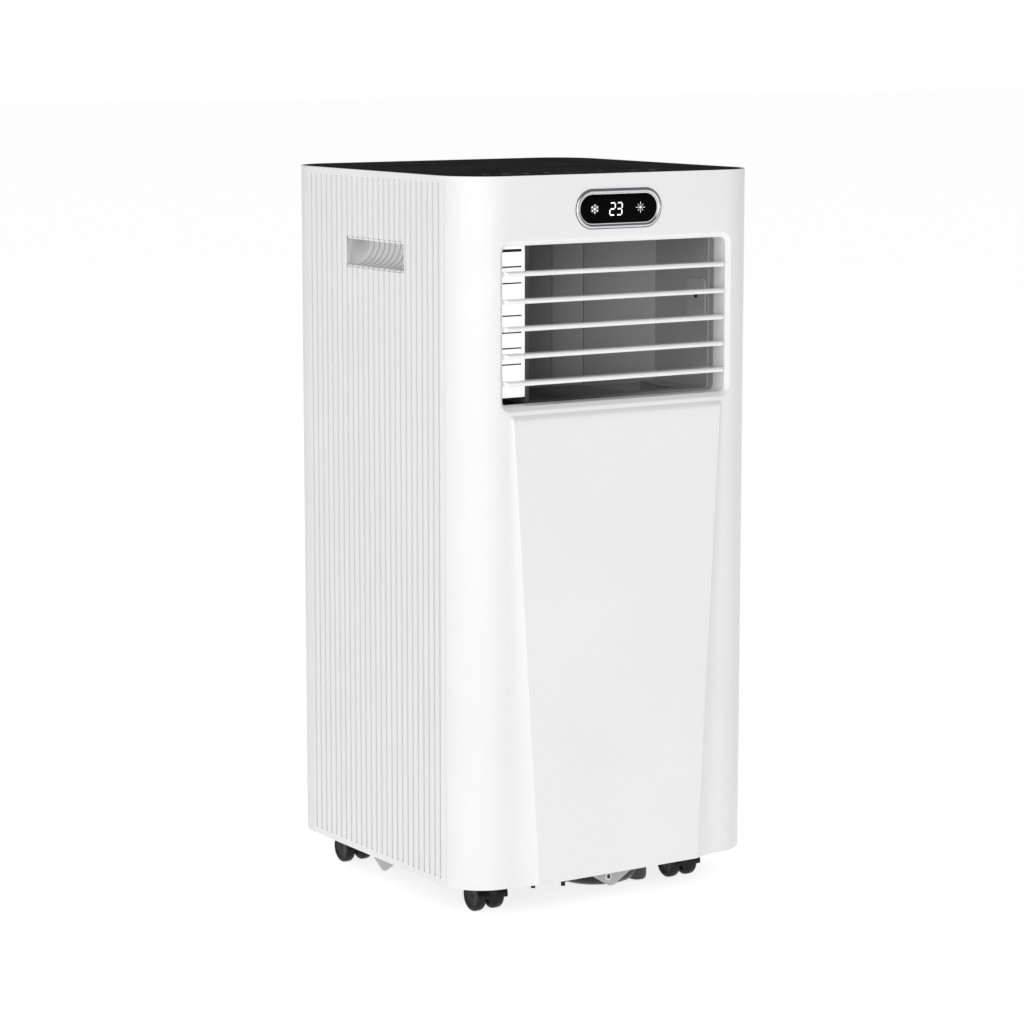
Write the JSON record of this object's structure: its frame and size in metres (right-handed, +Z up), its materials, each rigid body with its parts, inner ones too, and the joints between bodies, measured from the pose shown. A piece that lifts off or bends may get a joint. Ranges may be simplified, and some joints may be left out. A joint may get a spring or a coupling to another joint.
{
  "type": "portable air conditioner",
  "caption": "Upright portable air conditioner on twin-wheel casters with front louvres, a lit display, a touch-key lid, side hand recesses and a rear exhaust port.",
  "frame": {"origin": "on the floor, at the centre of the object's box", "axes": "+Z up, the louvred front faces -Y, +X to the right of a person who faces the front"},
  "size_m": [0.345, 0.355, 0.714],
  "materials": {
    "shell_white": "satin moulded",
    "side_white": "fine texture",
    "rear_white": "fine texture",
    "lid_black": "polished",
    "key_black": "satin",
    "chrome_trim": "polished",
    "display_glass": "polished",
    "circuit_board": "solder mask",
    "cheek_white": "smooth",
    "louvre_white": "polished",
    "duct_grey": "moulded",
    "fan_black": "moulded",
    "motor_steel": "zinc plated",
    "fin_aluminium": "finned",
    "deck_plastic": "moulded foam and plastic",
    "pan_black": "moulded",
    "bracket_grey": "moulded",
    "compressor_black": "enamel",
    "rubber_black": "moulded",
    "copper_tube": "drawn",
    "box_steel": "galvanised",
    "capacitor_can": "drawn can",
    "filter_mesh": "woven mesh",
    "grille_white": "fine texture",
    "screw_steel": "plated",
    "caster_black": "satin moulded",
    "wheel_black": "moulded",
    "float_white": "moulded",
    "collar_white": "moulded"
  },
  "bodies": {
    "cabinet": {"front_panel": "shell_white", "side_panel_left": "side_white", "side_panel_right": "side_white", "rear_panel": "rear_white", "top_panel": "lid_black", "base_pan": "pan_black", "pan_brackets": "bracket_grey", "display_bezel": "chrome_trim", "display_window": "display_glass", "display_board": "circuit_board", "outlet_cheek": "cheek_white", "outlet_duct": "duct_grey", "evaporator_scroll": "duct_grey", "evaporator_motor": "motor_steel", "evaporator_coil": "fin_aluminium", "divider_deck": "deck_plastic", "condenser_coil": "fin_aluminium", "condenser_scroll": "duct_grey", "condenser_motor": "motor_steel", "exhaust_duct": "duct_grey", "exhaust_collar": "collar_white", "slinger_motor": "motor_steel", "compressor": "compressor_black", "compressor_grommets": "rubber_black", "refrigerant_pipes": "copper_tube", "control_box": "box_steel", "main_board": "circuit_board", "run_capacitor": "capacitor_can", "cord_gland": "rubber_black", "screws": "screw_steel"},
    "louvre_1": {"louvre_1": "louvre_white"},
    "louvre_2": {"louvre_2": "louvre_white"},
    "louvre_3": {"louvre_3": "louvre_white"},
    "louvre_4": {"louvre_4": "louvre_white"},
    "louvre_5": {"louvre_5": "louvre_white"},
    "louvre_link": {"louvre_link": "louvre_white"},
    "evaporator_wheel": {"evaporator_wheel": "fan_black"},
    "condenser_wheel": {"condenser_wheel": "fan_black"},
    "slinger_wheel": {"slinger_wheel": "deck_plastic"},
    "float_arm": {"float_arm": "float_white"},
    "upper_cassette": {"upper_grille": "grille_white", "upper_filter": "filter_mesh"},
    "lower_cassette": {"lower_grille": "grille_white", "lower_filter": "filter_mesh"},
    "drain_plug": {"drain_plug": "rubber_black"},
    "key_power": {"key_power": "key_black"},
    "key_timer": {"key_timer": "key_black"},
    "key_fan": {"key_fan": "key_black"},
    "key_mode": {"key_mode": "key_black"},
    "key_swing": {"key_swing": "key_black"},
    "key_night": {"key_night": "key_black"},
    "key_temperature": {"key_temperature": "key_black"},
    "caster_fork_fl": {"caster_fork_fl": "caster_black"},
    "caster_wheels_fl": {"caster_wheels_fl": "wheel_black"},
    "caster_fork_fr": {"caster_fork_fr": "caster_black"},
    "caster_wheels_fr": {"caster_wheels_fr": "wheel_black"},
    "caster_fork_rl": {"caster_fork_rl": "caster_black"},
    "caster_wheels_rl": {"caster_wheels_rl": "wheel_black"},
    "caster_fork_rr": {"caster_fork_rr": "caster_black"},
    "caster_wheels_rr": {"caster_wheels_rr": "wheel_black"}
  },
  "joints": [
    {"name": "louvre_1_tilt", "type": "hinge", "parent": "cabinet", "child": "louvre_1", "pos_m": [0, -0.157, 0.5197], "axis": [1, 0, 0], "range_deg": [-20, 20]},
    {"name": "louvre_2_tilt", "type": "hinge", "parent": "cabinet", "child": "louvre_2", "pos_m": [0, -0.157, 0.54545], "axis": [1, 0, 0], "range_deg": [-20, 20]},
    {"name": "louvre_3_tilt", "type": "hinge", "parent": "cabinet", "child": "louvre_3", "pos_m": [0, -0.157, 0.5712], "axis": [1, 0, 0], "range_deg": [-20, 20]},
    {"name": "louvre_4_tilt", "type": "hinge", "parent": "cabinet", "child": "louvre_4", "pos_m": [0, -0.157, 0.59695], "axis": [1, 0, 0], "range_deg": [-20, 20]},
    {"name": "louvre_5_tilt", "type": "hinge", "parent": "cabinet", "child": "louvre_5", "pos_m": [0, -0.157, 0.6227], "axis": [1, 0, 0], "range_deg": [-20, 20]},
    {"name": "louvre_link_swing", "type": "hinge", "parent": "louvre_1", "child": "louvre_link", "pos_m": [-0.139, -0.143, 0.5197], "axis": [1, 0, 0], "range_deg": [-20, 20]},
    {"name": "evaporator_fan_spin", "type": "hinge", "parent": "cabinet", "child": "evaporator_wheel", "pos_m": [0, -0.088, 0.392], "axis": [0, 1, 0], "continuous": true},
    {"name": "condenser_fan_spin", "type": "hinge", "parent": "cabinet", "child": "condenser_wheel", "pos_m": [0.045, 0.045, 0.15], "axis": [0, 1, 0], "continuous": true},
    {"name": "slinger_spin", "type": "hinge", "parent": "cabinet", "child": "slinger_wheel", "pos_m": [-0.112, 0.087, 0.08], "axis": [0, 1, 0], "continuous": true},
    {"name": "float_rise", "type": "hinge", "parent": "cabinet", "child": "float_arm", "pos_m": [0.15, 0.05, 0.412], "axis": [1, 0, 0], "range_deg": [0, 14]},
    {"name": "upper_cassette_pull", "type": "slide", "parent": "cabinet", "child": "upper_cassette", "axis": [0, 1, 0], "range_m": [0, 0.04]},
    {"name": "lower_cassette_pull", "type": "slide", "parent": "cabinet", "child": "lower_cassette", "axis": [0, 1, 0], "range_m": [0, 0.04]},
    {"name": "drain_plug_pull", "type": "slide", "parent": "cabinet", "child": "drain_plug", "axis": [0, 1, 0], "range_m": [0, 0.02]},
    {"name": "key_power_press", "type": "slide", "parent": "cabinet", "child": "key_power", "axis": [0, 0, -1], "range_m": [0, 0.0008], "stiffness_N_per_m": 400, "springref_m": -0.001},
    {"name": "key_timer_press", "type": "slide", "parent": "cabinet", "child": "key_timer", "axis": [0, 0, -1], "range_m": [0, 0.0008], "stiffness_N_per_m": 400, "springref_m": -0.001},
    {"name": "key_fan_press", "type": "slide", "parent": "cabinet", "child": "key_fan", "axis": [0, 0, -1], "range_m": [0, 0.0008], "stiffness_N_per_m": 400, "springref_m": -0.001},
    {"name": "key_mode_press", "type": "slide", "parent": "cabinet", "child": "key_mode", "axis": [0, 0, -1], "range_m": [0, 0.0008], "stiffness_N_per_m": 400, "springref_m": -0.001},
    {"name": "key_swing_press", "type": "slide", "parent": "cabinet", "child": "key_swing", "axis": [0, 0, -1], "range_m": [0, 0.0008], "stiffness_N_per_m": 400, "springref_m": -0.001},
    {"name": "key_night_press", "type": "slide", "parent": "cabinet", "child": "key_night", "axis": [0, 0, -1], "range_m": [0, 0.0008], "stiffness_N_per_m": 400, "springref_m": -0.001},
    {"name": "key_temperature_rock", "type": "hinge", "parent": "cabinet", "child": "key_temperature", "pos_m": [-0.01, -0.128, 0.7086], "axis": [0, 1, 0], "range_deg": [-1.2, 1.2], "stiffness_Nm_per_rad": 0.5},
    {"name": "caster_swivel_fl", "type": "hinge", "parent": "cabinet", "child": "caster_fork_fl", "pos_m": [-0.116, -0.1246, 0.035], "axis": [0, 0, 1], "continuous": true},
    {"name": "caster_roll_fl", "type": "hinge", "parent": "caster_fork_fl", "child": "caster_wheels_fl", "pos_m": [-0.116, -0.1126, 0.015], "axis": [1, 0, 0], "continuous": true},
    {"name": "caster_swivel_fr", "type": "hinge", "parent": "cabinet", "child": "caster_fork_fr", "pos_m": [0.116, -0.1246, 0.035], "axis": [0, 0, 1], "continuous": true},
    {"name": "caster_roll_fr", "type": "hinge", "parent": "caster_fork_fr", "child": "caster_wheels_fr", "pos_m": [0.116, -0.1126, 0.015], "axis": [1, 0, 0], "continuous": true},
    {"name": "caster_swivel_rl", "type": "hinge", "parent": "cabinet", "child": "caster_fork_rl", "pos_m": [-0.129, 0.1055, 0.035], "axis": [0, 0, 1], "continuous": true},
    {"name": "caster_roll_rl", "type": "hinge", "parent": "caster_fork_rl", "child": "caster_wheels_rl", "pos_m": [-0.129, 0.1175, 0.015], "axis": [1, 0, 0], "continuous": true},
    {"name": "caster_swivel_rr", "type": "hinge", "parent": "cabinet", "child": "caster_fork_rr", "pos_m": [0.129, 0.1055, 0.035], "axis": [0, 0, 1], "continuous": true},
    {"name": "caster_roll_rr", "type": "hinge", "parent": "caster_fork_rr", "child": "caster_wheels_rr", "pos_m": [0.129, 0.1175, 0.015], "axis": [1, 0, 0], "continuous": true}
  ],
  "couplings": [
    {"joint": "louvre_2_tilt", "follows": "louvre_1_tilt", "ratio": 1},
    {"joint": "louvre_3_tilt", "follows": "louvre_1_tilt", "ratio": 1},
    {"joint": "louvre_4_tilt", "follows": "louvre_1_tilt", "ratio": 1},
    {"joint": "louvre_5_tilt", "follows": "louvre_1_tilt", "ratio": 1},
    {"joint": "louvre_link_swing", "follows": "louvre_1_tilt", "ratio": -1}
  ]
}
